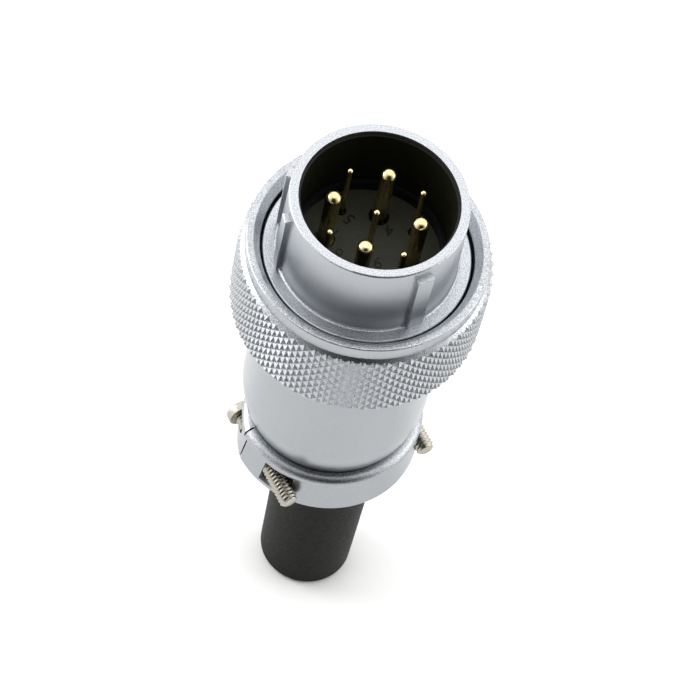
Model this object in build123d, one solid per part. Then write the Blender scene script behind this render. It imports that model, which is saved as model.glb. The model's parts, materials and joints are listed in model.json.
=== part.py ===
from build123d import *
import math
import os

# A nine-contact circular cable plug with a knurled coupling ring and a two-screw cable clamp.
# Millimetres. +Z runs along the plug's axis towards the contacts.
# The origin is on the axis, in the plane of the cable sleeve's free end.
# The four large contacts lie on the X and Y axes.

os.makedirs("parts", exist_ok=True)

# Lengths along the axis
sleeve_out = 37.8
clamp_band = 5.6
clamp_bead = 2.29
backshell_length = 27.96
shoulder_front_from_backshell = 13.9
shoulder_thickness = 2.0
mating_length = 13.25
ring_length = 15.7

# Levels that the pieces share, measured from the sleeve's end
z_clamp_rear = sleeve_out
z_band_front = z_clamp_rear + clamp_band
z_junction = z_band_front + clamp_bead
z_backshell_front = z_junction + backshell_length
z_shoulder_front = z_backshell_front + shoulder_front_from_backshell
z_shoulder_rear = z_shoulder_front - shoulder_thickness
z_rim = z_shoulder_front + mating_length

# Front shell
shell_bore_r = 11.45
mating_wall = 1.05
mating_draft = 0.22
barrel_wall = 1.3
spigot_step = 0.1
spigot_length = 5.9
shoulder_width = 2.03
shoulder_round = 0.3
rim_lip = 0.65
rim_lip_overhang = 0.25
rim_edge_round = 0.25
key_height = 0.85
key_setback = 1.6
key_root = 0.65
key_edge_round = 0.15
narrow_key = 1.7
wide_key = 2.6
key_foot_width = 0.5
key_foot_height = 0.35
narrow_key_angles = (175.0, -151.5)
wide_key_angle = -45.0
index_rib_width = 1.5
index_rib_height = 0.5
index_rib_stop = 3.0

# Insert and its skirt
skirt_wall = 0.55
insert_gap = 0.05
face_depth = 13.4
insert_thickness = 10.1
retainer_thickness = 5.8
seal_height = 1.9
seal_width = 0.5

# Circlip that holds the insert
circlip_thickness = 1.1
circlip_depth = 0.4
circlip_width = 1.5
circlip_opening = 5.0
circlip_ear_r = 1.3
circlip_ear_hole_r = 0.55

# Contacts
large_pitch_r = 6.25
small_pitch_r = 7.5
large_tip_depth = 2.0
small_tip_depth = 2.9
large_pin_r = 1.12
large_dome_r = 1.3
large_shank_step = 0.2
large_collar_r = 1.7
large_tail_r = 1.4
large_cup_r = 0.95
small_pin_r = 0.45
small_dome_r = 0.52
small_shank_step = 0.2
small_collar_r = 1.0
small_tail_r = 0.8
small_cup_r = 0.5
collar_length = 1.5
tail_length = 12.0
cup_depth = 4.5
cup_open_length = 3.2
contact_gap = 0.04
large_recess_gap = 0.18
small_recess_gap = 0.15
recess_depth = 1.2

# Coupling ring and its slip washer
ring_clearance = 1.35
ring_crest_gap = 0.31
ring_lead = 0.6
ring_lead_depth = 0.65
ring_mouth_depth = 1.9
ring_face_wall = 1.0
ring_neck_wall = 1.05
ring_neck_length = 2.2
ring_groove_wall = 0.75
ring_groove_length = 0.4
ring_barrel_wall = 1.9
ring_edge_chamfer = 0.35
ring_lip = 2.6
ring_relief_depth = 0.4
ring_relief_length = 1.6
ring_running_gap = 0.08
washer_thickness = 0.6
washer_edge_gap = 0.35
washer_running_gap = 0.09

# Backshell
backshell_wall = 1.1
backshell_front_round = 0.3
backshell_rear_taper = 7.8
junction_step = 1.54
thread_gap = 0.05
ledge_width = 0.75
chamber_corner = 1.5
gasket_thickness = 0.8
gasket_gap = 0.1
rear_wall = 4.66
bead_rise = 1.91
bead_level = 1.1
band_front_rise = 1.19
band_rear_rise = 2.0
band_rear_round = 0.25

# Cable sleeve
sleeve_r = 7.8
sleeve_taper = 0.6
sleeve_wall = 2.8
sleeve_end_round = 0.9
sleeve_offset_x = 1.6
sleeve_collar_rise = 1.05
sleeve_collar = 2.5
sleeve_lead = 0.3
sleeve_taper_stop = 2.0

# Cable clamp
clamp_push_angle = -48.0
parting_gap = 0.3
cap_front_gap = 0.2
cap_edge_gap = 0.4
cap_flatness = 3.2
clamp_bore_gap = 0.6
clamp_rib_gap = 0.3
clamp_rib_root = 0.2
clamp_rib_width = 1.0
clamp_rib_levels = (1.4, 5.4)
screw_level = 2.7
screw_edge = 2.76
screw_r = 1.45
screw_length = 16.0
screw_seat = 5.0
screw_head_r = 2.25
screw_head_height = 1.5
screw_head_round = 0.65
screw_slot_width = 0.6
screw_slot_depth = 0.8
screw_slot_lean = 0.6
screw_tip_chamfer = 0.22
screw_running_gap = 0.06
screw_hole_gap = 0.15
pocket_ceiling = 5.3
head_pocket_half = 2.5
tip_pocket_wall = 4.6
tip_pocket_side = 2.0
tip_pocket_slope = 9.0
tip_pocket_rear = 0.9

# Radii of the metal pieces, each from the one inside it
rim_outer_r = shell_bore_r + mating_wall
rim_inner_r = shell_bore_r - rim_lip_overhang
shell_base_r = rim_outer_r + mating_draft
shoulder_r = shell_base_r + shoulder_width
barrel_r = shell_bore_r + barrel_wall
spigot_r = barrel_r - spigot_step
insert_r = shell_bore_r - insert_gap
skirt_inner_r = insert_r - skirt_wall
ring_crest_r = shoulder_r + ring_crest_gap
ring_mouth_r = shoulder_r + ring_clearance
ring_face_r = ring_mouth_r + ring_face_wall
ring_neck_r = ring_mouth_r + ring_neck_wall
ring_groove_r = ring_mouth_r + ring_groove_wall
ring_barrel_r = ring_mouth_r + ring_barrel_wall
ring_relief_r = ring_mouth_r + ring_relief_depth
ring_lip_r = barrel_r + ring_running_gap
backshell_r = spigot_r + thread_gap + backshell_wall
chamber_r = spigot_r - ledge_width
junction_r = backshell_r - junction_step
bead_r = junction_r + bead_rise
band_front_r = junction_r + band_front_rise
band_rear_r = junction_r + band_rear_rise
large_shank_r = large_pin_r + large_shank_step
small_shank_r = small_pin_r + small_shank_step
sleeve_bore_r = sleeve_r - sleeve_wall
sleeve_end_r = sleeve_r - sleeve_taper
sleeve_collar_r = sleeve_r + sleeve_collar_rise
screw_offset = band_rear_r - screw_edge
outside = 2 * ring_barrel_r

# Directions of the clamp: push points from the cap to the fixed half, along lies in the parting plane
push = Vector(math.cos(math.radians(clamp_push_angle)), math.sin(math.radians(clamp_push_angle)), 0)
along = Vector(-push.Y, push.X, 0)
sleeve_axis = Vector(sleeve_offset_x, 0, 0)

# Levels that follow from the sizes above
z_face = z_rim - face_depth
z_insert_rear = z_face - insert_thickness
z_retainer_rear = z_insert_rear - retainer_thickness
z_shell_rear = z_backshell_front - spigot_length
z_ledge = z_shell_rear - gasket_thickness
z_rear_wall = z_junction + rear_wall
z_ring_rear = z_backshell_front
z_ring_front = z_ring_rear + ring_length
z_screw = z_clamp_rear + screw_level


def revolved(points):
    """Solid of revolution about Z from a closed outline of (radius, height) points."""
    outline = Polyline(*[(r, 0, z) for r, z in points], close=True)
    return revolve(make_face(outline), Axis.Z)


def disc(radius, z0, z1, centre=(0, 0)):
    """Cylinder between two heights."""
    return Pos(centre[0], centre[1], z0) * Cylinder(radius, z1 - z0, align=(Align.CENTER, Align.CENTER, Align.MIN))


def tube(outer, inner, z0, z1, centre=(0, 0)):
    """Hollow cylinder between two heights."""
    return disc(outer, z0, z1, centre) - disc(inner, z0 - 1, z1 + 1, centre)


def block(direction, x0, x1, y0, y1, z0, z1):
    """Box with its X side turned towards a direction in the XY plane."""
    angle = math.degrees(math.atan2(direction.Y, direction.X))
    box = Box(x1 - x0, y1 - y0, z1 - z0)
    return Rot(0, 0, angle) * Pos((x0 + x1) / 2, (y0 + y1) / 2, (z0 + z1) / 2) * box


def round_edges(solid, radius, z, r, tol=0.05):
    """Round the circular edges at one height and radius."""
    edges = [e for e in solid.edges().filter_by(GeomType.CIRCLE)
             if abs(e.center().Z - z) < tol and abs(e.radius - r) < tol]
    return fillet(edges, radius)


def large_places():
    """Centres of the four large contacts, on the axes."""
    return [(large_pitch_r * math.cos(math.radians(a)), large_pitch_r * math.sin(math.radians(a)))
            for a in (0, 90, 180, 270)]


def small_places():
    """Centres of the five small contacts: four midway between the large ones and one on the axis."""
    ring = [(small_pitch_r * math.cos(math.radians(a)), small_pitch_r * math.sin(math.radians(a)))
            for a in (45, 135, 225, 315)]
    return ring + [(0, 0)]


def key(width, angle):
    """Guide key on the outside of the mating barrel, with a small foot on each side."""
    outer = rim_outer_r + key_height
    inner = rim_outer_r - key_root
    z_front = z_rim - key_setback
    z_foot = z_shoulder_front - shoulder_thickness / 4
    direction = Vector(math.cos(math.radians(angle)), math.sin(math.radians(angle)), 0)
    body = block(direction, inner, outer, -width / 2, width / 2, z_foot, z_front)
    outside_edges = [e for e in body.edges() if e.center().dot(direction) > outer - 0.01 or e.center().Z > z_front - 0.01]
    body = fillet([e for e in outside_edges if e.center().Z > z_foot + 0.01
                   and e.center().dot(direction) > inner + 0.01], key_edge_round)
    foot = block(direction, inner, rim_outer_r + key_foot_height, -width / 2 - key_foot_width,
                 width / 2 + key_foot_width, z_foot, z_shoulder_front + key_foot_width)
    return body + foot


def front_shell():
    """Cast shell: rim, keyed mating barrel, shoulder, ring barrel and threaded spigot."""
    body = revolved([
        (rim_inner_r, z_rim),
        (rim_outer_r, z_rim),
        (shell_base_r, z_shoulder_front),
        (shoulder_r, z_shoulder_front),
        (shoulder_r, z_shoulder_rear),
        (barrel_r, z_shoulder_rear),
        (barrel_r, z_backshell_front),
        (spigot_r, z_backshell_front),
        (spigot_r, z_shell_rear),
        (shell_bore_r, z_shell_rear),
        (shell_bore_r, z_rim - rim_lip),
        (rim_inner_r, z_rim - rim_lip),
    ])
    body = round_edges(body, rim_edge_round, z_rim, rim_outer_r)
    body = round_edges(body, shoulder_round, z_shoulder_front, shoulder_r)
    for angle in narrow_key_angles:
        body += key(narrow_key, angle)
    body += key(wide_key, wide_key_angle)
    groove_top = z_retainer_rear
    groove_r = shell_bore_r + circlip_depth + insert_gap
    body -= tube(groove_r, shell_bore_r - 1, groove_top - circlip_thickness - insert_gap, groove_top)
    rib = block(Vector(1, 0, 0), shell_bore_r - index_rib_height, shell_bore_r + 0.2,
                -index_rib_width / 2, index_rib_width / 2, z_retainer_rear, z_face - index_rib_stop)
    return body + rib


def index_slot():
    """Slot that lets the insert pieces slide over the rib in the shell."""
    return block(Vector(1, 0, 0), shell_bore_r - index_rib_height - insert_gap, shell_bore_r + 1,
                 -index_rib_width / 2 - insert_gap, index_rib_width / 2 + insert_gap,
                 z_retainer_rear - 1, z_face - index_rib_stop + insert_gap)


def insert():
    """Moulded insert: thick contact disc, recessed round each pin, with a thin skirt that lines the barrel."""
    body = revolved([
        (0, z_insert_rear),
        (insert_r, z_insert_rear),
        (insert_r, z_rim - rim_lip - insert_gap),
        (skirt_inner_r, z_rim - rim_lip - insert_gap),
        (skirt_inner_r, z_face),
        (0, z_face),
    ])
    for place in large_places():
        body -= disc(large_shank_r + contact_gap, z_insert_rear - 1, z_face + 1, place)
        body -= disc(large_shank_r + large_recess_gap, z_face - recess_depth, z_face + 1, place)
        body -= disc(large_collar_r + contact_gap, z_insert_rear - 1, z_insert_rear + collar_length, place)
    for place in small_places():
        body -= disc(small_shank_r + contact_gap, z_insert_rear - 1, z_face + 1, place)
        body -= disc(small_shank_r + small_recess_gap, z_face - recess_depth, z_face + 1, place)
        body -= disc(small_collar_r + contact_gap, z_insert_rear - 1, z_insert_rear + collar_length, place)
    return body - index_slot()


def insert_retainer():
    """Rear disc that traps the collars of the contacts."""
    body = disc(insert_r, z_retainer_rear, z_insert_rear)
    for place in large_places():
        body -= disc(large_tail_r + contact_gap, z_retainer_rear - 1, z_insert_rear + 1, place)
    for place in small_places():
        body -= disc(small_tail_r + contact_gap, z_retainer_rear - 1, z_insert_rear + 1, place)
    return body - index_slot()


def face_seal():
    """Rubber ring in the corner between the insert's face and its skirt."""
    return tube(skirt_inner_r, skirt_inner_r - seal_width, z_face, z_face + seal_height)


def insert_circlip():
    """Internal circlip behind the insert, with two eyes for the pliers."""
    top = z_retainer_rear
    bottom = top - circlip_thickness
    outer = shell_bore_r + circlip_depth
    inner = outer - circlip_width
    body = tube(outer, inner, bottom, top)
    body -= block(Vector(0, 1, 0), 0, outer + 1, -circlip_opening / 2, circlip_opening / 2, bottom - 1, top + 1)
    eye_radius = inner + 0.15
    half = math.asin((circlip_opening / 2 + circlip_ear_r * 0.8) / eye_radius)
    for side in (-1, 1):
        place = (side * eye_radius * math.sin(half), eye_radius * math.cos(half))
        body += disc(circlip_ear_r, bottom, top, place)
    for side in (-1, 1):
        place = (side * eye_radius * math.sin(half), eye_radius * math.cos(half))
        body -= disc(circlip_ear_hole_r, bottom - 1, top + 1, place)
    return body & disc(outer, bottom, top)


def domed_pin(pin_r, dome_r, z_pin_tip):
    """Pin on the axis whose end is a shallow dome with an edge."""
    half_angle = math.asin(pin_r / dome_r)
    z_edge = z_pin_tip - dome_r * (1 - math.cos(half_angle))
    r_middle = dome_r * math.sin(half_angle / 2)
    z_middle = z_pin_tip - dome_r * (1 - math.cos(half_angle / 2))
    dome = ThreePointArc((pin_r, 0, z_edge), (r_middle, 0, z_middle), (0, 0, z_pin_tip))
    sides = Polyline((0, 0, z_pin_tip), (0, 0, z_face), (pin_r, 0, z_face), (pin_r, 0, z_edge))
    return revolve(make_face([dome, sides]), Axis.Z)


def contact(pin_r, dome_r, shank_r, tip_depth, collar_r, tail_r, cup_r, place):
    """Turned pin contact: domed pin, shank up to the insert's face, collar and solder cup."""
    tail_end = z_insert_rear - tail_length
    body = Pos(place[0], place[1], 0) * domed_pin(pin_r, dome_r, z_rim - tip_depth)
    body += disc(shank_r, z_insert_rear, z_face, place)
    body += disc(collar_r, z_insert_rear, z_insert_rear + collar_length, place)
    body += disc(tail_r, tail_end, z_insert_rear, place)
    body -= disc(cup_r, tail_end - 1, tail_end + cup_depth, place)
    opening = Box(4 * tail_r, 2 * tail_r, cup_open_length, align=(Align.CENTER, Align.MAX, Align.MIN))
    return body - Pos(place[0], place[1], tail_end - 0.01) * opening


def large_contact(number):
    """One of the four power contacts."""
    place = large_places()[number - 1]
    return contact(large_pin_r, large_dome_r, large_shank_r, large_tip_depth,
                   large_collar_r, large_tail_r, large_cup_r, place)


def small_contact(number):
    """One of the five signal contacts."""
    place = small_places()[number - 1]
    return contact(small_pin_r, small_dome_r, small_shank_r, small_tip_depth,
                   small_collar_r, small_tail_r, small_cup_r, place)


def coupling_ring():
    """Coupling ring: lead-in to its inside thread, plain neck, groove, grip barrel and a lip at the rear."""
    z_lip = z_ring_rear + ring_lip
    z_neck = z_ring_front - ring_neck_length
    z_groove = z_neck - ring_groove_length
    body = revolved([
        (ring_mouth_r, z_ring_front),
        (ring_face_r, z_ring_front),
        (ring_neck_r, z_ring_front - 0.2),
        (ring_neck_r, z_neck),
        (ring_groove_r, z_neck),
        (ring_groove_r, z_groove),
        (ring_barrel_r - ring_edge_chamfer, z_groove),
        (ring_barrel_r, z_groove - ring_edge_chamfer),
        (ring_barrel_r, z_ring_rear + ring_edge_chamfer),
        (ring_barrel_r - ring_edge_chamfer, z_ring_rear),
        (ring_lip_r, z_ring_rear),
        (ring_lip_r, z_lip),
        (ring_relief_r, z_lip),
        (ring_relief_r, z_lip + ring_relief_length),
        (ring_crest_r, z_lip + ring_relief_length),
        (ring_crest_r, z_ring_front - ring_mouth_depth),
        (ring_mouth_r - ring_lead, z_ring_front - ring_lead_depth),
    ])
    return body


def slip_washer():
    """Flat washer in front of the ring's lip, which meets the shoulder when the ring is drawn forward."""
    z_lip = z_ring_rear + ring_lip
    return tube(ring_crest_r - washer_edge_gap, barrel_r + washer_running_gap, z_lip, z_lip + washer_thickness)


def backshell_gasket():
    """Flat gasket between the end of the spigot and the ledge in the backshell."""
    return tube(spigot_r - gasket_gap, chamber_r - gasket_gap, z_ledge, z_shell_rear)


def clamp_flange(flatness):
    """Flange of the cable clamp: rounded bead behind the junction, then a band that widens to the rear.

    It is turned about an axis set off by the flatness, and is as wide in the parting plane as with none."""
    junction, crown, front, rear = [math.hypot(r, flatness) for r in (junction_r, bead_r, band_front_r, band_rear_r)]
    bead = ThreePointArc((junction, 0, z_junction), (crown, 0, z_junction - bead_level), (front, 0, z_band_front))
    rest = Polyline(
        (front, 0, z_band_front),
        (rear, 0, z_clamp_rear + band_rear_round),
        (rear - band_rear_round, 0, z_clamp_rear),
        (0, 0, z_clamp_rear),
        (0, 0, z_junction),
        (junction, 0, z_junction),
    )
    flange = revolve(make_face([bead, rest]), Axis.Z)
    return Pos(push.X * flatness, push.Y * flatness, 0) * flange


def half_space(side, gap):
    """Everything on one side of the parting plane."""
    if side > 0:
        return block(push, gap, outside, -outside, outside, 0, z_rear_wall)
    return block(push, -outside, -gap, -outside, outside, 0, z_rear_wall)


def clamp_ribs(reach_r):
    """Two gripping ribs inside the clamp, left standing proud of its bore."""
    ribs = []
    centre = (sleeve_axis.X, sleeve_axis.Y)
    for level in clamp_rib_levels:
        z0 = z_clamp_rear + level
        ribs.append(tube(sleeve_r + clamp_bore_gap + clamp_rib_root, reach_r, z0, z0 + clamp_rib_width, centre))
    return ribs


def screw_line(side):
    """Point of a screw's axis in the parting plane."""
    return along * (side * screw_offset) + Vector(0, 0, z_screw)


def rod(radius, start, end, side):
    """Cylinder about a screw's axis between two distances from the parting plane."""
    plane = Plane(origin=screw_line(side) + push * start, z_dir=push)
    return plane * Cylinder(radius, end - start, align=(Align.CENTER, Align.CENTER, Align.MIN))


def head_pocket(side):
    """Recess with a flat seat for a screw's head, open outwards and to the rear."""
    y_in = screw_offset - head_pocket_half
    y0, y1 = (y_in, outside) if side > 0 else (-outside, -y_in)
    return block(push, -outside, -screw_seat, y0, y1, z_clamp_rear - 1, z_clamp_rear + pocket_ceiling)


def tip_pocket(side):
    """Recess round a screw's tip, closed to the rear, with an inner side that slopes outwards."""
    run = outside
    rise = run * math.tan(math.radians(tip_pocket_slope))
    y_in = screw_offset - tip_pocket_side
    outline = Polyline(
        (tip_pocket_wall, side * y_in),
        (tip_pocket_wall + run, side * (y_in + rise)),
        (tip_pocket_wall + run, side * outside),
        (tip_pocket_wall, side * outside),
        close=True,
    )
    shape = extrude(make_face(outline), pocket_ceiling - tip_pocket_rear, dir=(0, 0, 1))
    return Rot(0, 0, clamp_push_angle) * Pos(0, 0, z_clamp_rear + tip_pocket_rear) * shape


def backshell():
    """Backshell with the fixed half of the cable clamp cast on its rear."""
    rear_start = z_junction + backshell_rear_taper
    curve_r = junction_r + (backshell_r - junction_r) * 0.71
    curve_z = z_junction + backshell_rear_taper * 0.41
    curve = ThreePointArc((junction_r, 0, z_junction), (curve_r, 0, curve_z), (backshell_r, 0, rear_start))
    outline = Polyline(
        (backshell_r, 0, rear_start),
        (backshell_r, 0, z_backshell_front - backshell_front_round),
        (backshell_r - backshell_front_round, 0, z_backshell_front),
        (spigot_r + thread_gap, 0, z_backshell_front),
        (spigot_r + thread_gap, 0, z_ledge),
        (chamber_r, 0, z_ledge),
        (chamber_r, 0, z_rear_wall + chamber_corner),
        (chamber_r - chamber_corner, 0, z_rear_wall),
        (0, 0, z_rear_wall),
        (0, 0, z_junction),
        (junction_r, 0, z_junction),
    )
    body = revolve(make_face([curve, outline]), Axis.Z)
    body += clamp_flange(0) & half_space(1, parting_gap / 2)
    centre = (sleeve_axis.X, sleeve_axis.Y)
    body -= disc(sleeve_r + clamp_bore_gap, z_clamp_rear - 1, z_junction, centre)
    body -= disc(sleeve_r + contact_gap, z_junction - 0.01, z_rear_wall + 1, centre)
    for rib in clamp_ribs(sleeve_r + contact_gap):
        body += rib & half_space(1, parting_gap / 2)
    for side in (-1, 1):
        body -= tip_pocket(side)
        body -= rod(screw_r + screw_running_gap, -1, outside, side)
    return body


def clamp_cap():
    """Removable half of the cable clamp, flatter at the back than the fixed half."""
    body = clamp_flange(cap_flatness) & half_space(-1, parting_gap / 2)
    body -= disc(junction_r + cap_edge_gap, z_junction - cap_front_gap, z_rear_wall)
    centre = (sleeve_axis.X, sleeve_axis.Y)
    body -= disc(sleeve_r + clamp_bore_gap, z_clamp_rear - 1, z_junction + 1, centre)
    for rib in clamp_ribs(sleeve_r + clamp_rib_gap):
        body += rib & half_space(-1, parting_gap / 2)
    for side in (-1, 1):
        body -= head_pocket(side)
        body -= rod(screw_r + screw_hole_gap, -outside, 1, side)
    return body


def clamp_screw(side):
    """Slotted pan-head screw that draws the cap on to the sleeve."""
    head_end = -screw_seat - screw_head_height
    shank = rod(screw_r, -screw_seat, screw_length - screw_seat, side)
    tip = [e for e in shank.edges().filter_by(GeomType.CIRCLE)
           if (e.center() - screw_line(side)).dot(push) > screw_length - screw_seat - 0.01]
    shank = chamfer(tip, screw_tip_chamfer)
    head = rod(screw_head_r, head_end, -screw_seat, side)
    outer = [e for e in head.edges().filter_by(GeomType.CIRCLE)
             if (e.center() - screw_line(side)).dot(push) < head_end + 0.01]
    head = fillet(outer, screw_head_round)
    slot_plane = Plane(origin=screw_line(side) + push * head_end, x_dir=along + Vector(0, 0, screw_slot_lean), z_dir=push)
    slot = slot_plane * Box(screw_head_r * 3, screw_slot_width, 2 * screw_slot_depth)
    return (shank + head) - slot


def cable_sleeve():
    """Rubber sleeve that the cable passes through, with a collar inside the backshell."""
    z_top = z_rear_wall + sleeve_collar
    body = revolved([
        (sleeve_bore_r + sleeve_lead, 0),
        (sleeve_end_r, 0),
        (sleeve_r, z_clamp_rear - sleeve_taper_stop),
        (sleeve_r, z_rear_wall),
        (sleeve_collar_r, z_rear_wall),
        (sleeve_collar_r, z_top),
        (sleeve_bore_r, z_top),
        (sleeve_bore_r, sleeve_lead),
    ])
    body = round_edges(body, sleeve_end_round, 0, sleeve_end_r)
    return Pos(sleeve_axis.X, sleeve_axis.Y, 0) * body


def save(shape, node):
    """Write one sub-part as a STEP file named after its node."""
    solids = shape.solids()
    if len(solids) != 1:
        raise ValueError(node + " should be one solid, found " + str(len(solids)))
    export_step(solids[0], "parts/" + node + ".step")


save(front_shell(), "front_shell")
save(insert(), "insert")
save(insert_retainer(), "insert_retainer")
save(face_seal(), "face_seal")
save(insert_circlip(), "insert_circlip")
for count in (1, 2, 3, 4):
    save(large_contact(count), "contact_large_" + str(count))
for count in (1, 2, 3, 4, 5):
    save(small_contact(count), "contact_small_" + str(count))
save(coupling_ring(), "coupling_ring")
save(slip_washer(), "slip_washer")
save(backshell(), "backshell")
save(backshell_gasket(), "backshell_gasket")
save(clamp_cap(), "clamp_cap")
save(clamp_screw(-1), "clamp_screw_left")
save(clamp_screw(1), "clamp_screw_right")
save(cable_sleeve(), "cable_sleeve")
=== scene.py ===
import json
import math

import bmesh
import bpy
from mathutils import Euler, Matrix, Vector


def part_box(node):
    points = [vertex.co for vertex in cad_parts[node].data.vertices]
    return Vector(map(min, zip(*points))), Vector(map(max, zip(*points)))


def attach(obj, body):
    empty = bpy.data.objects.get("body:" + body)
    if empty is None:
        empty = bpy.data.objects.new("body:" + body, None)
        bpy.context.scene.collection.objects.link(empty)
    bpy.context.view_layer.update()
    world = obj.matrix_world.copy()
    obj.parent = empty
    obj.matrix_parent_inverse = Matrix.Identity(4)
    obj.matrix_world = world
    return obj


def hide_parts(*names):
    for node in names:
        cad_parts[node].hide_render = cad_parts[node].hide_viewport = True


bl_info = {
    "name": "Circular cable plug",
    "version": (1, 0, 0),
    "blender": (4, 5, 0),
    "location": "3D View > Sidebar > Cable plug",
    "description": "Dresses a nine-contact cable plug with its knurl, threads, numbers and finishes",
    "category": "Object",
}

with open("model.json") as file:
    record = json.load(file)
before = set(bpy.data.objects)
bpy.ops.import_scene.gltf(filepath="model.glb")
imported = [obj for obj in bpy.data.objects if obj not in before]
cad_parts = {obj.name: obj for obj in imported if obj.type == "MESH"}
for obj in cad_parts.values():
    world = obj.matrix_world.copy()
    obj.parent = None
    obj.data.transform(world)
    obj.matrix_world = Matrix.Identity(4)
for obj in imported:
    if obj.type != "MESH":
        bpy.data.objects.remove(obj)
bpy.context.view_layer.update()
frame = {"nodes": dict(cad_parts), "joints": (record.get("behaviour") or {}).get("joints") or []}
MM = 0.001

# Places that come from the frame, in metres
RING_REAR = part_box("coupling_ring")[0].z
RING_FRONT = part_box("coupling_ring")[1].z
RING_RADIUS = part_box("coupling_ring")[1].x
LIP_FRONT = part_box("slip_washer")[0].z
INSERT_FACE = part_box("face_seal")[0].z

# Kinds of node and of input that the trees share
MATH = "ShaderNodeMath"
LENGTH = ("NodeSocketFloat", "DISTANCE")
COUNT = ("NodeSocketInt", "NONE")

# Roughness of each casting's plate, and its tone. The ring's lead-in has a much brighter tone as painted
# light, standing in for the light that reflects into the ring's bore.
PLATES = {"shell": (0.33, 1.03), "ring": (0.27, 0.93), "lead_in_painted_light": (0.33, 1.85), "backshell": (0.3, 0.85)}

# Place on the insert's face in millimetres, and turn in degrees, of the contacts' numbers
NUMBERS = (("5", -3.8, 4.4, 150), ("4", 2.0, 4.5, 200), ("6", -3.8, -1.6, 150), ("9", 1.8, -1.1, 200),
           ("3", 6.2, 3.2, 200), ("1", -5.2, 1.2, 150), ("7", -1.4, -4.6, 150), ("8", 4.4, -4.2, 200))
# Height of a digit in Blender's own font, as a share of the text's size
DIGIT_HEIGHT = 0.73

# Steps round a large turned piece
FINE_TURN = 256


def linear(hex_colour):
    """Linear RGBA of an sRGB hex colour."""
    channels = [int(hex_colour[i:i + 2], 16) / 255 for i in (1, 3, 5)]
    return [c / 12.92 if c <= 0.04045 else ((c + 0.055) / 1.055) ** 2.4 for c in channels] + [1.0]


def per_metre(size_mm):
    """Noise scale that makes a grain of this size on Object coordinates."""
    return 1 / (size_mm * MM)


def length(name, description, default_mm):
    """Property for a length, given in millimetres and kept in metres."""
    return bpy.props.FloatProperty(name=name, description=description, default=default_mm * MM,
                                   unit="LENGTH", precision=5)


def colour(name, description, hex_colour):
    """Property for a colour."""
    return bpy.props.FloatVectorProperty(name=name, description=description, subtype="COLOR", size=4,
                                         min=0, max=1, default=linear(hex_colour))


# Sizes and colours that a user would change

class RingSettings(bpy.types.PropertyGroup):
    """Coupling ring and its knurl. A drop is measured inwards from the barrel's radius."""
    around: bpy.props.IntProperty(name="Diamonds around", description="Diamonds in one row of the knurl",
                                  default=66, min=12)
    rows: bpy.props.IntProperty(name="Rows", description="Staggered rows of diamonds from front to rear",
                                default=16, min=1)
    tip_rise: length("Tip rise", "How far the diamonds' tips stand above the barrel", 0.18)
    groove_drop: length("Groove drop", "Bottom of the grooves between the diamonds", 0.42)
    neck_drop: length("Neck drop", "Plain neck in front of the knurl", 0.85)
    neck_length: length("Neck length", "Length of the plain neck", 2.2)
    mouth_drop: length("Mouth drop", "Inner edge of the front face", 1.9)
    lead_drop: length("Lead drop", "End of the lead-in cone", 2.8)
    lead_depth: length("Lead depth", "Depth of the lead-in cone's end", 1.3)
    bore_drop: length("Bore drop", "Crests of the inside thread", 2.94)
    bore_depth: length("Bore depth", "Depth at which the inside thread starts", 1.6)
    relief_drop: length("Relief drop", "Relief behind the inside thread", 1.5)
    relief_length: length("Relief length", "Length of the relief", 1.6)
    lip_drop: length("Lip drop", "Hole in the rear lip", 5.17)
    edge_round: length("Edge round", "Rounding of the front face's outer edge", 0.28)


class ScrewSettings(bpy.types.PropertyGroup):
    """Clamp screws."""
    seat: length("Seat", "Distance of the head's seat from the parting plane", 5.0)
    shank: length("Shank", "Length under the head", 16.0)
    crest: length("Crest radius", "Outer radius of the thread", 1.45)
    root: length("Root radius", "Radius at the bottom of the thread", 1.12)
    pitch: length("Pitch", "Distance between two turns of the thread", 0.6)
    head_radius: length("Head radius", "Radius of the pan head", 2.25)
    head_height: length("Head height", "Height of the pan head", 1.5)
    head_round: length("Head round", "Rounding of the head's outer edge", 0.65)
    slot_width: length("Slot width", "Width of the slot for the driver", 0.6)
    slot_depth: length("Slot depth", "Depth of the slot for the driver", 0.8)
    slot_lean: bpy.props.FloatProperty(name="Slot lean", default=math.atan(0.6), subtype="ANGLE",
                                       unit="ROTATION", description="Turn of the slot from the parting plane")


class ShellSettings(bpy.types.PropertyGroup):
    """Rounded corner between the mating wall and the shoulder."""
    wall: length("Wall radius", "Outside of the mating wall at its foot", 12.72)
    rim_to_shoulder: length("Wall height", "From the shoulder's face to the rim", 13.25)
    corner: length("Corner radius", "Radius of the hollow corner", 0.35)


class NumberSettings(bpy.types.PropertyGroup):
    """Numbers beside the contacts."""
    height: length("Height", "Height of a number", 1.9)
    rise: length("Rise", "How far a number stands above the insert's face", 0.08)


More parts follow.
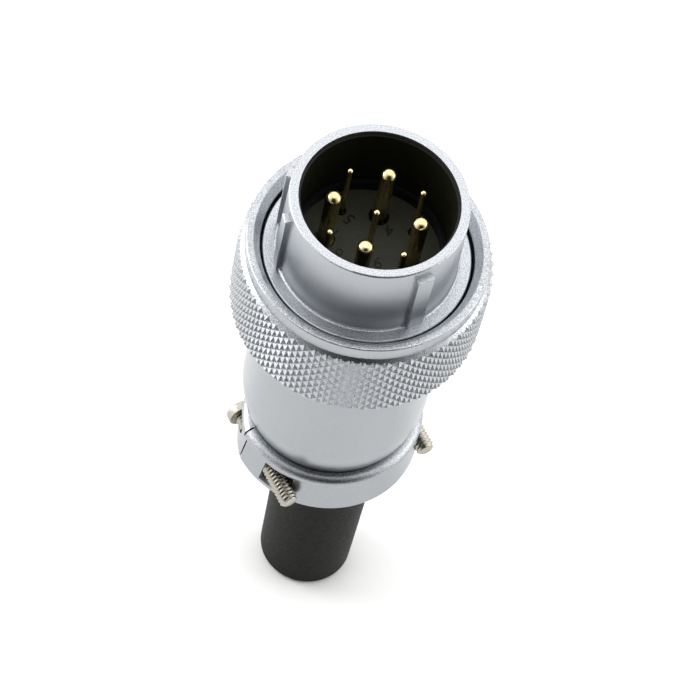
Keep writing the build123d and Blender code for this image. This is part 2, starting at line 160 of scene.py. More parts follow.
class FinishSettings(bpy.types.PropertyGroup):
    """Colours of the finishes."""
    plate: colour("Satin chrome", "Chrome plate over blasted die-cast zinc", "#ACAFB3")
    plate_dark: colour("Satin chrome, hollows", "Chrome plate between the grains", "#A3A7AB")
    gold: colour("Gold plate", "Gold flash over turned brass", "#E0D0A4")
    gold_dark: colour("Gold plate, worn", "Thinner gold where sockets rub", "#CDBA86")
    # Painted shade: the dark colour that the contacts fade to near the insert's face
    brass: colour("Bare brass", "Brass gone dull at the contacts' feet", "#453F1F")
    insert: colour("Insert face", "Grained face of the dark moulded insert", "#34342B")
    # Painted shade: the insert's wall is made nearly black to stand in for the shade inside the bore
    skirt: colour("Insert skirt", "Wall that the mould's core polished", "#131309")
    number: colour("Contact numbers", "Raised digits that are inked black", "#080806")
    seal: colour("Seal rubber", "Black nitrile rubber", "#0E0E0E")
    sleeve: colour("Sleeve rubber", "Matte black moulded rubber", "#090A07")
    screw: colour("Nickel-plated steel", "Warm grey screw plating", "#ABA79D")
    spring: colour("Oiled spring steel", "Dark circlip steel", "#55565A")
    washer: colour("Plain steel", "Rolled washer steel", "#8E8F92")


class StageSettings(bpy.types.PropertyGroup):
    """Floor, light and camera."""
    floor: colour("Floor", "Pale floor", "#F8F8F7")
    floor_size: length("Floor size", "Side of the floor", 3000)
    camera_place: bpy.props.FloatVectorProperty(name="Camera place", description="Where the camera stands",
                                                subtype="TRANSLATION", unit="LENGTH", size=3, precision=5,
                                                default=(0.0159143, -0.2651871, 0.4957139))
    camera_turn: bpy.props.FloatVectorProperty(name="Camera turn", description="How the camera is turned",
                                               subtype="EULER", unit="ROTATION", size=3,
                                               default=[math.radians(a) for a in (30.6378, -7.3486, 15.4)])
    gap_azimuth: bpy.props.FloatProperty(name="Gap azimuth", description="Where the tent's dark gap is",
                                         default=math.radians(-75), subtype="ANGLE", unit="ROTATION")
    focal: bpy.props.FloatProperty(name="Focal length", description="Focal length of the camera",
                                   default=180, unit="CAMERA")
    sensor: bpy.props.FloatProperty(name="Sensor width", description="Width of the camera's sensor",
                                    default=36, unit="CAMERA")


# Shared tools

def add_node(tree, kind, inputs=(), **settings):
    """Add a node. Its inputs, in order or by name, are values, sockets, or nodes that stand for their
    first output."""
    made = tree.nodes.new(kind)
    for name, value in settings.items():
        setattr(made, name, value)
    for key, value in inputs.items() if isinstance(inputs, dict) else enumerate(inputs):
        source = value.outputs[0] if isinstance(value, bpy.types.Node) else value
        if isinstance(source, bpy.types.NodeSocket):
            tree.links.new(source, made.inputs[key])
        else:
            made.inputs[key].default_value = source
    return made


def add_piece(mesh, name, body, replaced=()):
    """Link a mesh as a piece that rides on a body, and hide the CAD nodes that it replaces."""
    piece = bpy.data.objects.new(name, mesh)
    bpy.context.scene.collection.objects.link(piece)
    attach(piece, body)
    if replaced:
        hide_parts(*replaced)
    return piece


def rounded(corners, steps=4):
    """Outline whose corners are (radius, height, rounding), with each rounding drawn as a short curve."""
    points = [Vector((r, z)) for r, z, _ in corners]
    outline = []
    for i, (_, _, rounding) in enumerate(corners):
        here = points[i]
        if rounding == 0:
            outline.append(here)
            continue
        before = here + (points[i - 1] - here).normalized() * rounding
        after = here + (points[(i + 1) % len(points)] - here).normalized() * rounding
        for k in range(steps + 1):
            t = k / steps
            outline.append(before.lerp(here, t).lerp(here.lerp(after, t), t))
    return outline


def lathe(name, outline, segments):
    """Smooth mesh of revolution about Z from a closed outline of (radius, height) points."""
    bm = bmesh.new()
    turns = [2 * math.pi * k / segments for k in range(segments)]
    rings = [[bm.verts.new((p.x * math.cos(a), p.x * math.sin(a), p.y)) for p in outline] for a in turns]
    for k in range(segments):
        here, beyond = rings[k], rings[(k + 1) % segments]
        for i in range(len(outline)):
            j = (i + 1) % len(outline)
            if outline[i].x > 1e-9 or outline[j].x > 1e-9:
                bm.faces.new((here[i], beyond[i], beyond[j], here[j]))
    bmesh.ops.remove_doubles(bm, verts=bm.verts, dist=1e-8)
    bmesh.ops.recalc_face_normals(bm, faces=bm.faces)
    mesh = bpy.data.meshes.new(name)
    bm.to_mesh(mesh)
    bm.free()
    mesh.shade_smooth()
    return mesh


def run_tree(name, tree, values):
    """Evaluate a Geometry Nodes tree with these inputs and return its result as a plain mesh."""
    holder = bpy.data.objects.new(name, bpy.data.meshes.new(name))
    bpy.context.scene.collection.objects.link(holder)
    modifier = holder.modifiers.new("Nodes", "NODES")
    modifier.node_group = tree
    for item in tree.interface.items_tree:
        if item.item_type == "SOCKET" and item.in_out == "INPUT":
            modifier[item.identifier] = values[item.name]
    evaluated = holder.evaluated_get(bpy.context.evaluated_depsgraph_get())
    mesh = bpy.data.meshes.new_from_object(evaluated)
    holder.modifiers.remove(modifier)
    bpy.data.objects.remove(holder)
    return mesh


def new_tree(name, inputs):
    """Geometry Nodes tree with these named inputs and one geometry output."""
    tree = bpy.data.node_groups.new(name, "GeometryNodeTree")
    tree.interface.new_socket("Geometry", in_out="OUTPUT", socket_type="NodeSocketGeometry")
    for label, (kind, subtype) in inputs.items():
        socket = tree.interface.new_socket(label, in_out="INPUT", socket_type=kind)
        socket.subtype = subtype
    return tree, add_node(tree, "NodeGroupInput").outputs


def grid_to_roll(tree, columns, rows):
    """Grid to roll round the Z axis, with each point's share of a turn and the number of its row."""
    grid = add_node(tree, "GeometryNodeMeshGrid", {
        "Size X": 1.0, "Size Y": 1.0,
        "Vertices X": add_node(tree, MATH, (columns, 1), operation="ADD"),
        "Vertices Y": add_node(tree, MATH, (rows, 1), operation="ADD")})
    place = add_node(tree, "ShaderNodeSeparateXYZ", (add_node(tree, "GeometryNodeInputPosition"),))
    share = add_node(tree, MATH, (place.outputs[0], 0.5), operation="ADD")
    climb = add_node(tree, MATH, (place.outputs[1], 0.5), operation="ADD")
    row = add_node(tree, MATH, (climb, rows), operation="MULTIPLY")
    row = add_node(tree, MATH, (row,), operation="ROUND")
    return grid, share, row


def roll(tree, grid, share, radius, height):
    """Roll the grid round the Z axis at these radii and heights, and close its seam and its poles."""
    angle = add_node(tree, MATH, (share, 2 * math.pi), operation="MULTIPLY")
    parts = [add_node(tree, MATH, (angle,), operation=operation) for operation in ("COSINE", "SINE")]
    sideways = [add_node(tree, MATH, (radius, part), operation="MULTIPLY") for part in parts]
    where = add_node(tree, "ShaderNodeCombineXYZ", (*sideways, height))
    wrapped = add_node(tree, "GeometryNodeSetPosition", {"Geometry": grid, "Position": where})
    return add_node(tree, "GeometryNodeMergeByDistance", {"Geometry": wrapped, "Distance": 1e-6})


def close_tree(tree, geometry, material):
    """Last nodes of a tree: real geometry with its material."""
    real = add_node(tree, "GeometryNodeRealizeInstances", {"Geometry": geometry})
    dressed = add_node(tree, "GeometryNodeSetMaterial", {"Geometry": real, "Material": material})
    add_node(tree, "NodeGroupOutput", (dressed,))


# Materials

def new_material(name, **sockets):
    """Material with a principled shader whose uniform sockets are set directly."""
    material = bpy.data.materials.new(name)
    material.use_nodes = True
    shader = material.node_tree.nodes["Principled BSDF"]
    for label, value in sockets.items():
        shader.inputs[label.replace("_", " ")].default_value = value
    return material, material.node_tree, shader


def scaled(shade, share):
    """Colour made darker or lighter by a share, and never above white."""
    return [min(1, share * channel) for channel in shade[:3]] + [1.0]


def grain(tree, size_mm, detail=2.0):
    """Noise on Object coordinates with grains of a real size."""
    place = add_node(tree, "ShaderNodeTexCoord").outputs["Object"]
    return add_node(tree, "ShaderNodeTexNoise", {
        "Vector": place, "Scale": per_metre(size_mm), "Detail": detail})


def rise(tree, start, end):
    """Share that goes from none to all between two heights in the frame."""
    place = add_node(tree, "ShaderNodeTexCoord").outputs["Object"]
    height = add_node(tree, "ShaderNodeSeparateXYZ", (place,)).outputs[2]
    return add_node(tree, "ShaderNodeMapRange", (height, start, end, 0.0, 1.0))


def blend_colours(tree, factor, low, high, from_min=0.35, from_max=0.65):
    """Colour that goes from low to high as a factor goes through its middle range."""
    share = add_node(tree, "ShaderNodeMapRange", (factor, from_min, from_max, 0.0, 1.0))
    return add_node(tree, "ShaderNodeMix", {0: share, 6: low, 7: high}, data_type="RGBA").outputs[2]


def dress(tree, shader, base, marks, roughness, height=None, depth_mm=0.0, strength=1.0):
    """Give a shader its colour, a roughness that follows its marks, and a height pattern of real depth."""
    tree.links.new(base, shader.inputs["Base Color"])
    rough = add_node(tree, "ShaderNodeMapRange", (marks, 0.3, 0.7, *roughness))
    tree.links.new(rough.outputs[0], shader.inputs["Roughness"])
    if height is not None:
        bump = add_node(tree, "ShaderNodeBump", {
            "Height": height, "Distance": depth_mm * MM, "Strength": strength})
        tree.links.new(bump.outputs[0], shader.inputs["Normal"])


def satin_chrome(name, low, high, roughness):
    """Chrome plate on die-cast zinc: smooth walls, and blasted end faces that are speckled.

    The real speckles are near 0.05 mm wide. They are drawn three times as coarse, so that they show."""
    material, tree, shader = new_material(name, Metallic=1.0)
    facing = add_node(tree, "ShaderNodeTexCoord").outputs["Normal"]
    facing = add_node(tree, "ShaderNodeSeparateXYZ", (facing,))
    endwards = add_node(tree, MATH, (facing.outputs[2],), operation="ABSOLUTE")
    blasted = add_node(tree, "ShaderNodeMapRange", (endwards, 0.3, 0.6, 0.0, 1.0))
    speckle = grain(tree, 0.16)
    walls = blend_colours(tree, speckle, low, high)
    ends = blend_colours(tree, speckle, scaled(high, 0.66), scaled(high, 1.36))
    base = add_node(tree, "ShaderNodeMix", {0: blasted, 6: walls, 7: ends}, data_type="RGBA").outputs[2]
    strength = add_node(tree, "ShaderNodeMapRange", (blasted, 0.0, 1.0, 0.08, 1.0))
    gloss = (roughness - 0.02, roughness + 0.03)
    dress(tree, shader, base, grain(tree, 6.0), gloss, speckle, 0.045, strength)
    return material


def gold_plate(low, high, foot_shade):
    """Gold flash on turned brass: a mirror on the domes, and thinner in places. Towards the insert's face it
    fades to a dark brass colour, which is painted shade for the contacts' lower parts near the face.
    """
    material, tree, shader = new_material("gold_plate_turned_brass", Metallic=1.0)
    # Painted shade: the colour darkens from 4 mm above the insert's face down to the face
    plated = rise(tree, INSERT_FACE + 0.1 * MM, INSERT_FACE + 4 * MM)
    flash = blend_colours(tree, grain(tree, 0.8), low, high)
    base = add_node(tree, "ShaderNodeMix", {0: plated, 6: foot_shade, 7: flash}, data_type="RGBA").outputs[2]
    dress(tree, shader, base, grain(tree, 0.2), (0.12, 0.2))
    return material


def moulded_phenolic(face, skirt):
    """Moulded phenolic with a fine mineral filler: its face is grained and grey, and its wall is painted
    nearly black, as painted shade for the walls of the deep bore."""
    material, tree, shader = new_material("phenolic_moulded", IOR=1.55, Specular_IOR_Level=0.2)
    # Painted shade: everything above the insert's face takes the nearly black wall colour
    on_shaded_wall = rise(tree, INSERT_FACE + 0.05 * MM, INSERT_FACE + 0.1 * MM)
    speckle = grain(tree, 0.14)
    grained = blend_colours(tree, speckle, face, scaled(face, 1.5), 0.45, 0.75)
    base = add_node(tree, "ShaderNodeMix", {0: on_shaded_wall, 6: grained, 7: skirt}, data_type="RGBA").outputs[2]
    dress(tree, shader, base, grain(tree, 1.0), (0.42, 0.55), speckle, 0.004)
    return material


def inked_digits(ink):
    """Raised phenolic digits with black ink rolled over them, thinner where wiping has rubbed it."""
    material, tree, shader = new_material("phenolic_moulded_inked", IOR=1.55, Specular_IOR_Level=0.2)
    base = blend_colours(tree, grain(tree, 0.5), ink, scaled(ink, 1.4))
    dress(tree, shader, base, grain(tree, 0.3), (0.35, 0.5))
    return material


def matte_rubber(name, black, grain_mm, depth_mm):
    """Moulded black rubber: dull, with the fine grain of its mould and paler where it has been handled."""
    material, tree, shader = new_material(name, IOR=1.5, Specular_IOR_Level=0.12, Sheen_Weight=0.06,
                                          Sheen_Roughness=0.35)
    base = blend_colours(tree, grain(tree, 4.0, 4.0), black, scaled(black, 1.35))
    dress(tree, shader, base, grain(tree, 0.6), (0.6, 0.72), grain(tree, grain_mm), depth_mm)
    return material


def worked_steel(name, bright, roughness, grain_mm):
    """Plated or plain steel with the fine marks of rolling, turning or thread cutting."""
    material, tree, shader = new_material(name, Metallic=1.0)
    marks = grain(tree, grain_mm)
    base = blend_colours(tree, marks, scaled(bright, 0.88), bright)
    dress(tree, shader, base, marks, (roughness - 0.04, roughness + 0.08))
    return material


def seamless_floor(board):
    """Matte photographic board: even, with a faint paper tone."""
    material, tree, shader = new_material("matte_board_painted", Roughness=0.8)
    base = blend_colours(tree, grain(tree, 60.0), scaled(board, 0.985), board)
    tree.links.new(base, shader.inputs["Base Color"])
    return material


def chrome_for(scene, part):
    """Satin chrome of one part, in that part's gloss and tone."""
    look = scene.plug_finish
    roughness, tone = PLATES[part]
    low, high = scaled(look.plate_dark, tone), scaled(look.plate, tone)
    return satin_chrome("satin_chrome_die_cast_" + part, low, high, roughness)


def paint(node, material):
    """Give a CAD node a material."""
    slots = frame["nodes"][node].data.materials
    slots.clear()
    slots.append(material)


# Coupling ring

def knurl_tree(material):
    """Diamond knurl round the Z axis: rows of pyramids, each row half a pitch round from the last.

    A grid is wrapped round the axis. Each half diamond has six steps each way, so that the grooves
    run along the diagonals. One row more at each end, and one that closes the inside, lie at Inner.
    A cone at each end, which starts at Foot, bevels the diamonds and cuts notches in the last ones."""
    tree, given = new_tree("Diamond knurl", {
        "Tip": LENGTH, "Groove": LENGTH, "Inner": LENGTH, "Foot": LENGTH, "Rear": LENGTH, "Front": LENGTH,
        "Around": COUNT, "Rows": COUNT})
    steps = 6
    columns = add_node(tree, MATH, (given["Around"], 2 * steps), operation="MULTIPLY")
    levels = add_node(tree, MATH, (given["Rows"], steps), operation="MULTIPLY")
    last = add_node(tree, MATH, (levels, 3), operation="ADD")
    grid, share, row = grid_to_roll(tree, columns, last)
    column = add_node(tree, MATH, (share, columns), operation="MULTIPLY")
    column = add_node(tree, MATH, (column,), operation="ROUND")
    level = add_node(tree, MATH, (row, 1.0), operation="SUBTRACT")
    level = add_node(tree, MATH, (level, 0.0), operation="MAXIMUM")
    level = add_node(tree, MATH, (level, levels), operation="MINIMUM")
    closing_row = add_node(tree, MATH, (last, 0.5), operation="SUBTRACT")
    before_close = add_node(tree, MATH, (row, closing_row), operation="LESS_THAN")
    level = add_node(tree, MATH, (level, before_close), operation="MULTIPLY")
    past_rear = add_node(tree, MATH, (row, 0.5), operation="GREATER_THAN")
    front_row = add_node(tree, MATH, (last, 1.5), operation="SUBTRACT")
    before_front = add_node(tree, MATH, (row, front_row), operation="LESS_THAN")
    is_outside = add_node(tree, MATH, (past_rear, before_front), operation="MULTIPLY")
    # The pattern starts a third of a half diamond on, so that the cones at the ends cut through diamonds
    shifted = add_node(tree, MATH, (level, steps / 3), operation="ADD")
    waves = []
    for operation in ("ADD", "SUBTRACT"):
        slanted = add_node(tree, MATH, (column, shifted), operation=operation)
        turns = add_node(tree, MATH, (slanted, 2.0 * steps), operation="DIVIDE")
        half = add_node(tree, MATH, (turns, 0.5), operation="PINGPONG")
        waves.append(add_node(tree, MATH, (half, 2.0), operation="MULTIPLY"))
    height = add_node(tree, MATH, waves, operation="MINIMUM")
    depth = add_node(tree, MATH, (given["Tip"], given["Groove"]), operation="SUBTRACT")
    outer = add_node(tree, MATH, (height, depth, given["Groove"]), operation="MULTIPLY_ADD")
    span = add_node(tree, MATH, (given["Front"], given["Rear"]), operation="SUBTRACT")
    climbed = add_node(tree, MATH, (level, levels), operation="DIVIDE")
    along = add_node(tree, MATH, (climbed, span), operation="MULTIPLY")
    from_front = add_node(tree, MATH, (span, along), operation="SUBTRACT")
    nearer = add_node(tree, MATH, (along, from_front), operation="MINIMUM")
    cone = add_node(tree, MATH, (nearer, given["Foot"]), operation="ADD")
    outer = add_node(tree, MATH, (outer, cone), operation="MINIMUM")
    wall = add_node(tree, MATH, (outer, given["Inner"]), operation="SUBTRACT")
    radius = add_node(tree, MATH, (is_outside, wall, given["Inner"]), operation="MULTIPLY_ADD")
    upwards = add_node(tree, MATH, (along, given["Rear"]), operation="ADD")
    closed = roll(tree, grid, share, radius, upwards)
    faceted = add_node(tree, "GeometryNodeTriangulate", {"Mesh": closed}, quad_method="SHORTEST_DIAGONAL")
    flat = add_node(tree, "GeometryNodeSetShadeSmooth", {"Geometry": faceted, "Shade Smooth": False})
    close_tree(tree, flat, material)
    return tree


def join_flats(mesh, inner):
    """Join the small triangles of each flat outside this radius, so that a diamond has only a few faces."""
    bm = bmesh.new()
    bm.from_mesh(mesh)
    outside = [v for v in bm.verts if math.hypot(v.co.x, v.co.y) > inner]
    edges = [e for e in bm.edges if all(math.hypot(v.co.x, v.co.y) > inner for v in e.verts)]
    bmesh.ops.dissolve_limit(bm, angle_limit=math.radians(3), verts=outside, edges=edges)
    bmesh.ops.triangulate(bm, faces=[face for face in bm.faces if len(face.verts) > 4])
    bm.to_mesh(mesh)
    bm.free()


class PLUG_OT_coupling_ring(bpy.types.Operator):
    """Make the coupling ring: a turned body with a face, neck and stepped bore, and its diamond knurl"""
    bl_idname = "plug.coupling_ring"
    bl_label = "Coupling ring"

    def execute(self, context):
        sizes = context.scene.plug_ring
        chrome = chrome_for(context.scene, "ring")
        mouth, lead, bore, relief, lip, neck = [RING_RADIUS - drop for drop in (
            sizes.mouth_drop, sizes.lead_drop, sizes.bore_drop,
            sizes.relief_drop, sizes.lip_drop, sizes.neck_drop)]
        # The core ends this far below the knurl's grooves, and the knurl is closed as far below the core
        skin = 0.3 * MM
        core = RING_RADIUS - sizes.groove_drop - skin
        z_knurl = RING_FRONT - sizes.neck_length
        z_bore = RING_FRONT - sizes.bore_depth
        z_relief = LIP_FRONT + sizes.relief_length
        fine = 0.08 * MM
        # The neck passes into the core under the knurl's front cone
        outline = rounded([
            (mouth, RING_FRONT, fine),
            (neck, RING_FRONT, sizes.edge_round),
            (neck, z_knurl - 0.3 * MM, 0),
            (core, z_knurl - 0.5 * MM, 0),
            (core, RING_REAR, 0),
            (lip, RING_REAR, fine),
            (lip, LIP_FRONT, fine),
            (relief, LIP_FRONT, 0),
            (relief, z_relief, 0),
            (bore, z_relief, 0),
            (bore, z_bore, 0),
            (lead, RING_FRONT - sizes.lead_depth, fine),
        ])
        mesh = lathe("ring_body", outline, FINE_TURN)
        mesh.materials.append(chrome)
        mesh.materials.append(chrome_for(context.scene, "lead_in_painted_light"))
        # Faces inside the mouth, in front of the inside thread, take the plate whose brighter tone is painted
        # light
        for face in mesh.polygons:
            reach = math.hypot(face.center.x, face.center.y)
            if reach < mouth and face.center.z > z_bore:
                face.material_index = 1
        body = add_piece(mesh, "ring_body", "ring", ["coupling_ring"])
        # The flats stay flat, and the small roundings carry the shading
        body.modifiers.new("Weighted normals", "WEIGHTED_NORMAL").keep_sharp = True
        knurl = run_tree("ring_knurl", knurl_tree(chrome), {
            "Tip": RING_RADIUS + sizes.tip_rise, "Groove": RING_RADIUS - sizes.groove_drop,
            "Inner": core - skin, "Foot": neck, "Rear": RING_REAR, "Front": z_knurl,
            "Around": sizes.around, "Rows": sizes.rows})
        join_flats(knurl, core)
        add_piece(knurl, "ring_knurl", "ring")
        return {"FINISHED"}


# Clamp screws

def thread_tree(material):
    """Screw shank along +Z from the origin: a right-hand thread that runs out at both closed ends.

    The grid is wrapped round the axis and leans by one pitch a turn, so its rows follow the thread."""
    tree, given = new_tree("Screw thread", {
        "Crest": LENGTH, "Root": LENGTH, "Pitch": LENGTH, "Length": LENGTH, "Tip": LENGTH,
        "Around": COUNT, "Steps": COUNT})
    turns = add_node(tree, MATH, (given["Length"], given["Pitch"]), operation="DIVIDE")
    turns = add_node(tree, MATH, (turns, 2.0), operation="ADD")
    rows = add_node(tree, MATH, (turns, given["Steps"]), operation="MULTIPLY")
    rows = add_node(tree, MATH, (rows,), operation="CEIL")
    grid, share, row = grid_to_roll(tree, given["Around"], rows)
    turn = add_node(tree, MATH, (row, given["Steps"]), operation="DIVIDE")
    turn = add_node(tree, MATH, (turn, 1.0), operation="SUBTRACT")
    level = add_node(tree, MATH, (turn, share), operation="ADD")
    level = add_node(tree, MATH, (level, given["Pitch"]), operation="MULTIPLY")
    level = add_node(tree, MATH, (level, 0.0), operation="MAXIMUM")
    level = add_node(tree, MATH, (level, given["Length"]), operation="MINIMUM")
    half = add_node(tree, MATH, (turn, 0.5), operation="PINGPONG")
    wave = add_node(tree, MATH, (half, 2.0), operation="MULTIPLY")
    depth = add_node(tree, MATH, (given["Crest"], given["Root"]), operation="SUBTRACT")
    cut = add_node(tree, MATH, (wave, depth, given["Root"]), operation="MULTIPLY_ADD")
    to_end = add_node(tree, MATH, (given["Length"], level), operation="SUBTRACT")
    nearer = add_node(tree, MATH, (level, to_end), operation="MINIMUM")
    cone = add_node(tree, MATH, (nearer, given["Tip"]), operation="ADD")
    radius = add_node(tree, MATH, (cut, cone), operation="MINIMUM")
    past_seat = add_node(tree, MATH, (row, 0.5), operation="GREATER_THAN")
    tip_row = add_node(tree, MATH, (rows, 0.5), operation="SUBTRACT")
    before_tip = add_node(tree, MATH, (row, tip_row), operation="LESS_THAN")
    is_side = add_node(tree, MATH, (past_seat, before_tip), operation="MULTIPLY")
    radius = add_node(tree, MATH, (radius, is_side), operation="MULTIPLY")
    closed = roll(tree, grid, share, radius, level)
    smooth = add_node(tree, "GeometryNodeSetShadeSmooth", {"Geometry": closed, "Shade Smooth": True})
    close_tree(tree, smooth, material)
    return tree


def screw_head(sizes, material):
    """Slotted pan head whose seat is at the origin and whose top faces -Z."""
    outline = rounded([
        (0.0, 0.0, 0),
        (0.0, -sizes.head_height, 0),
        (sizes.head_radius, -sizes.head_height, sizes.head_round),
        (sizes.head_radius, 0.0, 0.08 * MM),
    ], 6)
    head = bpy.data.objects.new("head", lathe("head", outline, 64))
    lean = Matrix.Rotation(sizes.slot_lean, 4, "Z")
    place = Matrix.Translation((0, 0, -sizes.head_height))
    size = Matrix.Diagonal((4 * sizes.head_radius, sizes.slot_width, 2 * sizes.slot_depth, 1))
    cut = bmesh.new()
    bmesh.ops.create_cube(cut, size=1, matrix=lean @ place @ size)
    tool = bpy.data.objects.new("slot", bpy.data.meshes.new("slot"))
    cut.to_mesh(tool.data)
    cut.free()
    for item in (head, tool):
        bpy.context.scene.collection.objects.link(item)
    modifier = head.modifiers.new("Slot", "BOOLEAN")
    modifier.object = tool
    modifier.solver = "EXACT"
    mesh = bpy.data.meshes.new_from_object(head.evaluated_get(bpy.context.evaluated_depsgraph_get()))
    for item in (head, tool):
        bpy.data.objects.remove(item)
    mesh.materials.clear()
    mesh.materials.append(material)
    mesh.shade_smooth()
    mesh.set_sharp_from_angle(angle=math.radians(35))
    return mesh


class PLUG_OT_clamp_screws(bpy.types.Operator):
    """Make the two clamp screws, each a slotted pan head and a threaded shank"""
    bl_idname = "plug.clamp_screws"
    bl_label = "Clamp screws"

    def execute(self, context):
        sizes = context.scene.plug_screws
        warm = context.scene.plug_finish.screw
        steel = worked_steel("nickel_plated_steel_rolled_thread", warm, 0.24, 0.3)
        tree = thread_tree(steel)
        for side in ("left", "right"):
            body = "screw_" + side
            joint = next(j for j in frame["joints"] if j["child"] == body)
            towards = -Vector(joint["axis"])
            across = Vector((-towards.y, towards.x, 0))
            seat = Vector(joint["pos_m"]) - towards * sizes.seat
            turn = Matrix((across, towards.cross(across), towards)).transposed().to_4x4()
            lay = Matrix.Translation(seat) @ turn
            head = screw_head(sizes, steel)
            head.transform(lay)
            add_piece(head, "screw_head_" + side, body, ["clamp_screw_" + side])
            thread = run_tree("screw_thread_" + side, tree, {
                "Crest": sizes.crest, "Root": sizes.root, "Pitch": sizes.pitch, "Length": sizes.shank,
                "Tip": sizes.root - 0.06 * MM, "Around": 32, "Steps": 6})
            thread.transform(lay)
            add_piece(thread, "screw_thread_" + side, body)
        return {"FINISHED"}


# Contact numbers

class PLUG_OT_contact_numbers(bpy.types.Operator):
    """Make the raised numbers beside the contacts on the insert's face"""
    bl_idname = "plug.contact_numbers"
    bl_label = "Contact numbers"

    def execute(self, context):
        sizes = context.scene.plug_numbers
        bm = bmesh.new()
        for digit, x, y, turn in NUMBERS:
            text = bpy.data.curves.new("number", "FONT")
            text.body = digit
            text.size = sizes.height / DIGIT_HEIGHT
            text.extrude = sizes.rise
            text.align_x = text.align_y = "CENTER"
            holder = bpy.data.objects.new("number", text)
            context.scene.collection.objects.link(holder)
            mesh = bpy.data.meshes.new_from_object(holder.evaluated_get(context.evaluated_depsgraph_get()))
            place = Matrix.Translation((x * MM, y * MM, INSERT_FACE))
            mesh.transform(place @ Matrix.Rotation(math.radians(turn), 4, "Z"))
            bm.from_mesh(mesh)
            bpy.data.objects.remove(holder)
        bmesh.ops.remove_doubles(bm, verts=bm.verts, dist=1e-7)
        mesh = bpy.data.meshes.new("contact_numbers")
        bm.to_mesh(mesh)
        bm.free()
        mesh.materials.append(inked_digits(context.scene.plug_finish.number))
        add_piece(mesh, "contact_numbers", "plug_body")
        return {"FINISHED"}


# Finishes of the CAD nodes

class PLUG_OT_castings(bpy.types.Operator):
    """Finish the plated castings, and make the rounded corner at the foot of the mating wall"""
    bl_idname = "plug.castings"
    bl_label = "Castings"

    def execute(self, context):
        sizes = context.scene.plug_shell
        chrome = chrome_for(context.scene, "shell")
        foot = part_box("front_shell")[1].z - sizes.rim_to_shoulder
        turns = [math.radians(90 * k / 6) for k in range(7)]
        hollow = [Vector((sizes.wall + sizes.corner * (1 - math.sin(a)),
                          foot + sizes.corner * (1 - math.cos(a)))) for a in turns]
        # The rest of the outline is buried in the wall and in the shoulder
        behind, under = sizes.wall - 0.4 * MM, foot - 0.1 * MM
        buried = [Vector((behind, foot + sizes.corner)), Vector((behind, under)),
                  Vector((sizes.wall + sizes.corner, under))]
        corner = lathe("shell_corner", hollow + buried, FINE_TURN)
        corner.materials.append(chrome)
        add_piece(corner, "shell_corner", "plug_body")
        paint("front_shell", chrome)
        rear_chrome = chrome_for(context.scene, "backshell")
        for node in ("backshell", "clamp_cap"):
            paint(node, rear_chrome)
        return {"FINISHED"}


class PLUG_OT_contacts(bpy.types.Operator):
    """Finish the nine contacts in gold plate"""
    bl_idname = "plug.contacts"
    bl_label = "Contacts"

    def execute(self, context):
        look = context.scene.plug_finish
        gold = gold_plate(look.gold_dark, look.gold, look.brass)
        for node in frame["nodes"]:
            if node.startswith("contact_"):
                paint(node, gold)
        return {"FINISHED"}


class PLUG_OT_insert_parts(bpy.types.Operator):
    """Finish the insert, its retainer and the seals"""
    bl_idname = "plug.insert_parts"
    bl_label = "Insert and seals"

    def execute(self, context):
        look = context.scene.plug_finish
        moulded = moulded_phenolic(look.insert, look.skirt)
        for node in ("insert", "insert_retainer"):
            paint(node, moulded)
        rubber = matte_rubber("nitrile_rubber_moulded", look.seal, 0.2, 0.004)
        for node in ("face_seal", "backshell_gasket"):
            paint(node, rubber)
        return {"FINISHED"}


class PLUG_OT_cable_sleeve(bpy.types.Operator):
    """Finish the cable sleeve in matte rubber"""
    bl_idname = "plug.cable_sleeve"
    bl_label = "Cable sleeve"

    def execute(self, context):
        black = context.scene.plug_finish.sleeve
        paint("cable_sleeve", matte_rubber("chloroprene_rubber_moulded", black, 0.25, 0.006))
        return {"FINISHED"}


class PLUG_OT_inner_steel(bpy.types.Operator):
    """Finish the circlip and the slip washer"""
    bl_idname = "plug.inner_steel"
    bl_label = "Circlip and washer"

    def execute(self, context):
        look = context.scene.plug_finish
        paint("insert_circlip", worked_steel("spring_steel_oiled", look.spring, 0.35, 0.4))
        paint("slip_washer", worked_steel("mild_steel_rolled", look.washer, 0.3, 0.4))
        return {"FINISHED"}


# Stage

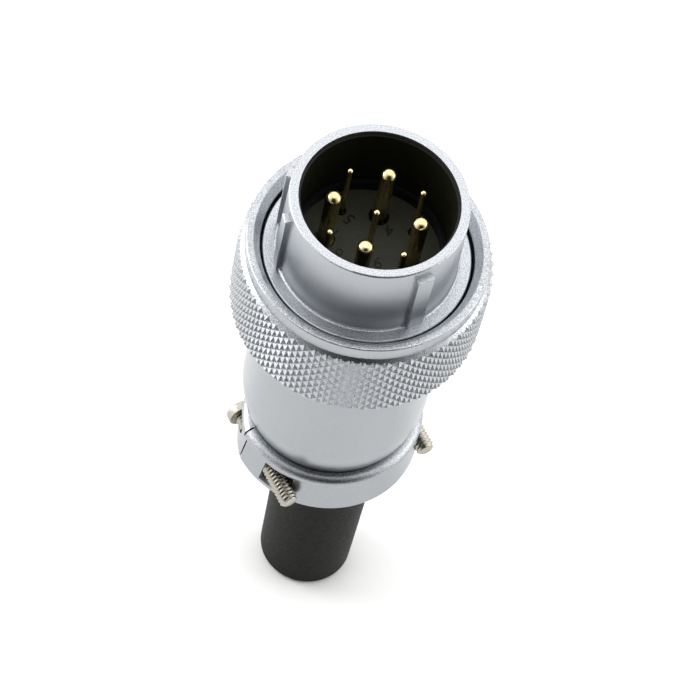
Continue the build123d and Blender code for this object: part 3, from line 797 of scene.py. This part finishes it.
def studio_world(gap_azimuth):
    """White tent with a brighter panel behind the part's top, and a dark gap where the camera looks in.

    The gap gives the chrome its dark bands, and the panel shows in every face that looks upwards."""
    world = bpy.data.worlds.new("white_tent")
    world.use_nodes = True
    tree = world.node_tree
    tree.nodes.clear()
    way = add_node(tree, "ShaderNodeTexCoord").outputs["Generated"]
    flat = add_node(tree, "ShaderNodeVectorMath", (way, (1.0, 1.0, 0.0)), operation="MULTIPLY")
    low = add_node(tree, "ShaderNodeVectorMath", (flat,), operation="LENGTH").outputs["Value"]
    heading = add_node(tree, "ShaderNodeVectorMath", (flat,), operation="NORMALIZE")
    middle = (math.cos(gap_azimuth), math.sin(gap_azimuth), 0.0)
    towards = add_node(tree, "ShaderNodeVectorMath", (heading, middle),
                       operation="DOT_PRODUCT").outputs["Value"]
    gap_edge, gap_core = math.cos(math.radians(75)), math.cos(math.radians(25))
    across = add_node(tree, "ShaderNodeMapRange", (towards, gap_edge, gap_core, 0.0, 1.0))
    below_top = add_node(tree, "ShaderNodeMapRange", (low, 0.2, 0.45, 0.0, 1.0),
                         interpolation_type="SMOOTHSTEP")
    gap = add_node(tree, MATH, (across, below_top), operation="MULTIPLY")
    tent_light, gap_light, panel_light = 1.6, 0.02, 0.4
    light = add_node(tree, "ShaderNodeMapRange", (gap, 0.0, 1.0, tent_light, gap_light))
    overhead = (-0.03, 0.52, 0.85)
    near = add_node(tree, "ShaderNodeVectorMath", (way, overhead),
                    operation="DOT_PRODUCT").outputs["Value"]
    panel_edge, panel_core = math.cos(math.radians(50)), math.cos(math.radians(20))
    panel = add_node(tree, "ShaderNodeMapRange", (near, panel_edge, panel_core, 0.0, panel_light),
                     interpolation_type="SMOOTHSTEP")
    light = add_node(tree, MATH, (light, panel), operation="ADD")
    background = add_node(tree, "ShaderNodeBackground", {"Color": (1, 1, 1, 1), "Strength": light})
    add_node(tree, "ShaderNodeOutputWorld", {"Surface": background})
    bpy.context.scene.world = world


def softbox(name, place, aim, width, height, radiance):
    """Rectangular soft light that faces a point; its power follows from the brightness of its surface."""
    lamp = bpy.data.lights.new(name, "AREA")
    lamp.shape = "RECTANGLE"
    lamp.size = width
    lamp.size_y = height
    lamp.energy = radiance * math.pi * width * height
    holder = bpy.data.objects.new(name, lamp)
    bpy.context.scene.collection.objects.link(holder)
    holder.location = place
    holder.rotation_euler = (Vector(aim) - Vector(place)).to_track_quat("-Z", "Y").to_euler()


class PLUG_OT_stage(bpy.types.Operator):
    """Make the floor, the studio light and the camera"""
    bl_idname = "plug.stage"
    bl_label = "Stage"

    def execute(self, context):
        look = context.scene.plug_stage
        half, under = look.floor_size / 2, -0.05 * MM
        board = bpy.data.meshes.new("floor")
        corners = [(x * half, y * half, under) for x, y in ((-1, -1), (1, -1), (1, 1), (-1, 1))]
        board.from_pydata(corners, [], [(0, 1, 2, 3)])
        board.materials.append(seamless_floor(look.floor))
        floor = bpy.data.objects.new("floor", board)
        context.scene.collection.objects.link(floor)
        camera = bpy.data.objects.new("camera", bpy.data.cameras.new("camera"))
        camera.data.lens = look.focal
        camera.data.sensor_width = look.sensor
        camera.data.clip_start, camera.data.clip_end = 0.01, 20
        camera.location = look.camera_place
        camera.rotation_euler = Euler(look.camera_turn)
        context.scene.collection.objects.link(camera)
        context.scene.camera = camera
        studio_world(look.gap_azimuth)
        middle = (0, 0, 0.07)
        softbox("left_softbox", (-0.6, 0.05, 0.25), middle, 0.3, 0.5, 5.5)
        softbox("right_softbox", (0.6, 0.15, 0.25), middle, 0.3, 0.5, 2.0)
        context.scene.view_settings.view_transform = "Standard"
        return {"FINISHED"}


class PLUG_PT_panel(bpy.types.Panel):
    """Lists the plug's pieces and their sizes"""
    bl_idname = "PLUG_PT_panel"
    bl_label = "Cable plug"
    bl_space_type = "VIEW_3D"
    bl_region_type = "UI"
    bl_category = "Cable plug"

    def draw(self, context):
        for settings, operators in PIECES:
            box = self.layout.box()
            group = getattr(context.scene, settings)
            for name in group.__annotations__:
                box.prop(group, name)
            for operator in operators:
                box.operator(operator.bl_idname)


PIECES = (
    ("plug_ring", (PLUG_OT_coupling_ring,)),
    ("plug_screws", (PLUG_OT_clamp_screws,)),
    ("plug_numbers", (PLUG_OT_contact_numbers,)),
    ("plug_shell", (PLUG_OT_castings,)),
    ("plug_finish", (PLUG_OT_contacts, PLUG_OT_insert_parts, PLUG_OT_cable_sleeve, PLUG_OT_inner_steel)),
    ("plug_stage", (PLUG_OT_stage,)),
)
SETTINGS = {"plug_ring": RingSettings, "plug_screws": ScrewSettings, "plug_numbers": NumberSettings,
            "plug_shell": ShellSettings, "plug_finish": FinishSettings, "plug_stage": StageSettings}
OPERATORS = [operator for _, operators in PIECES for operator in operators]
CLASSES = (*SETTINGS.values(), *OPERATORS, PLUG_PT_panel)


def register():
    """Register the classes and keep the settings on the scene."""
    for item in CLASSES:
        bpy.utils.register_class(item)
    for name, settings in SETTINGS.items():
        setattr(bpy.types.Scene, name, bpy.props.PointerProperty(type=settings))


def unregister():
    """Remove the settings and the classes."""
    for name in SETTINGS:
        delattr(bpy.types.Scene, name)
    for item in reversed(CLASSES):
        bpy.utils.unregister_class(item)


def main():
    """Register the classes and make every piece in order."""
    register()
    for operator in OPERATORS:
        group, call = operator.bl_idname.split(".")
        getattr(getattr(bpy.ops, group), call)()


if __name__ == "__main__":
    main()
